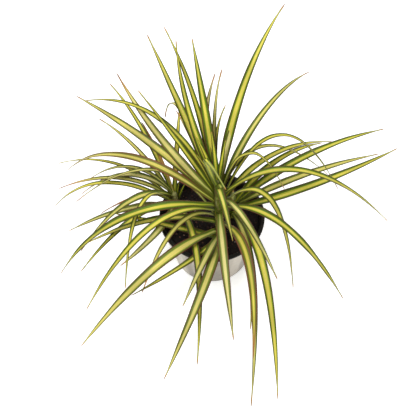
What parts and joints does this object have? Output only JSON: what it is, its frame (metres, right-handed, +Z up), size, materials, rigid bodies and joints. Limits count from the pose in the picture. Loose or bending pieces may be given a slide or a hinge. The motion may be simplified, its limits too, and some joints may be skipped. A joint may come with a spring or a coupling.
{
  "type": "potted dracaena",
  "caption": "Narrow-leaved striped dracaena with arching strap leaves on slender canes, growing in soil in a nursery pot inside a low tapered grey pot.",
  "frame": {"origin": "middle of the pot's foot, on the surface it stands on", "axes": "+Z up, +X to the right and +Y away from the viewer when the lowest front leaves face the viewer"},
  "size_m": [0.432, 0.3549, 0.33],
  "materials": {
    "pot": "satin light grey metal",
    "nursery_pot": "satin black",
    "soil": "dark crumbly potting soil",
    "stem": "ringed green-brown cane",
    "leaf": "waxy leaf, cream stripe between green bands, thin red-brown margins"
  },
  "bodies": {
    "root": {"outer_pot": "pot", "nursery_pot": "nursery_pot", "soil": "soil", "stem_middle": "stem", "leaf_middle_01": "leaf", "leaf_middle_02": "leaf", "leaf_middle_03": "leaf", "leaf_middle_04": "leaf", "leaf_middle_05": "leaf", "leaf_middle_06": "leaf", "leaf_middle_07": "leaf", "leaf_middle_08": "leaf", "leaf_middle_09": "leaf", "leaf_middle_10": "leaf", "leaf_middle_11": "leaf", "leaf_middle_12": "leaf", "leaf_middle_13": "leaf", "leaf_middle_14": "leaf", "leaf_middle_15": "leaf", "leaf_middle_16": "leaf", "leaf_middle_17": "leaf", "leaf_middle_18": "leaf", "leaf_middle_19": "leaf", "leaf_middle_20": "leaf", "leaf_middle_21": "leaf", "leaf_middle_22": "leaf", "leaf_middle_23": "leaf", "leaf_middle_24": "leaf", "leaf_middle_25": "leaf", "leaf_middle_26": "leaf", "leaf_middle_27": "leaf", "leaf_middle_28": "leaf", "leaf_middle_29": "leaf", "leaf_middle_30": "leaf", "leaf_middle_31": "leaf", "leaf_middle_32": "leaf", "leaf_middle_33": "leaf", "leaf_middle_34": "leaf", "leaf_middle_35": "leaf", "leaf_middle_36": "leaf", "stem_left": "stem", "leaf_left_01": "leaf", "leaf_left_02": "leaf", "leaf_left_03": "leaf", "leaf_left_04": "leaf", "leaf_left_05": "leaf", "leaf_left_06": "leaf", "leaf_left_07": "leaf", "leaf_left_08": "leaf", "leaf_left_09": "leaf", "leaf_left_10": "leaf", "leaf_left_11": "leaf", "stem_right": "stem", "leaf_right_01": "leaf", "leaf_right_02": "leaf", "leaf_right_03": "leaf", "leaf_right_04": "leaf", "leaf_right_05": "leaf", "leaf_right_06": "leaf", "leaf_right_07": "leaf"}
  },
  "joints": []
}
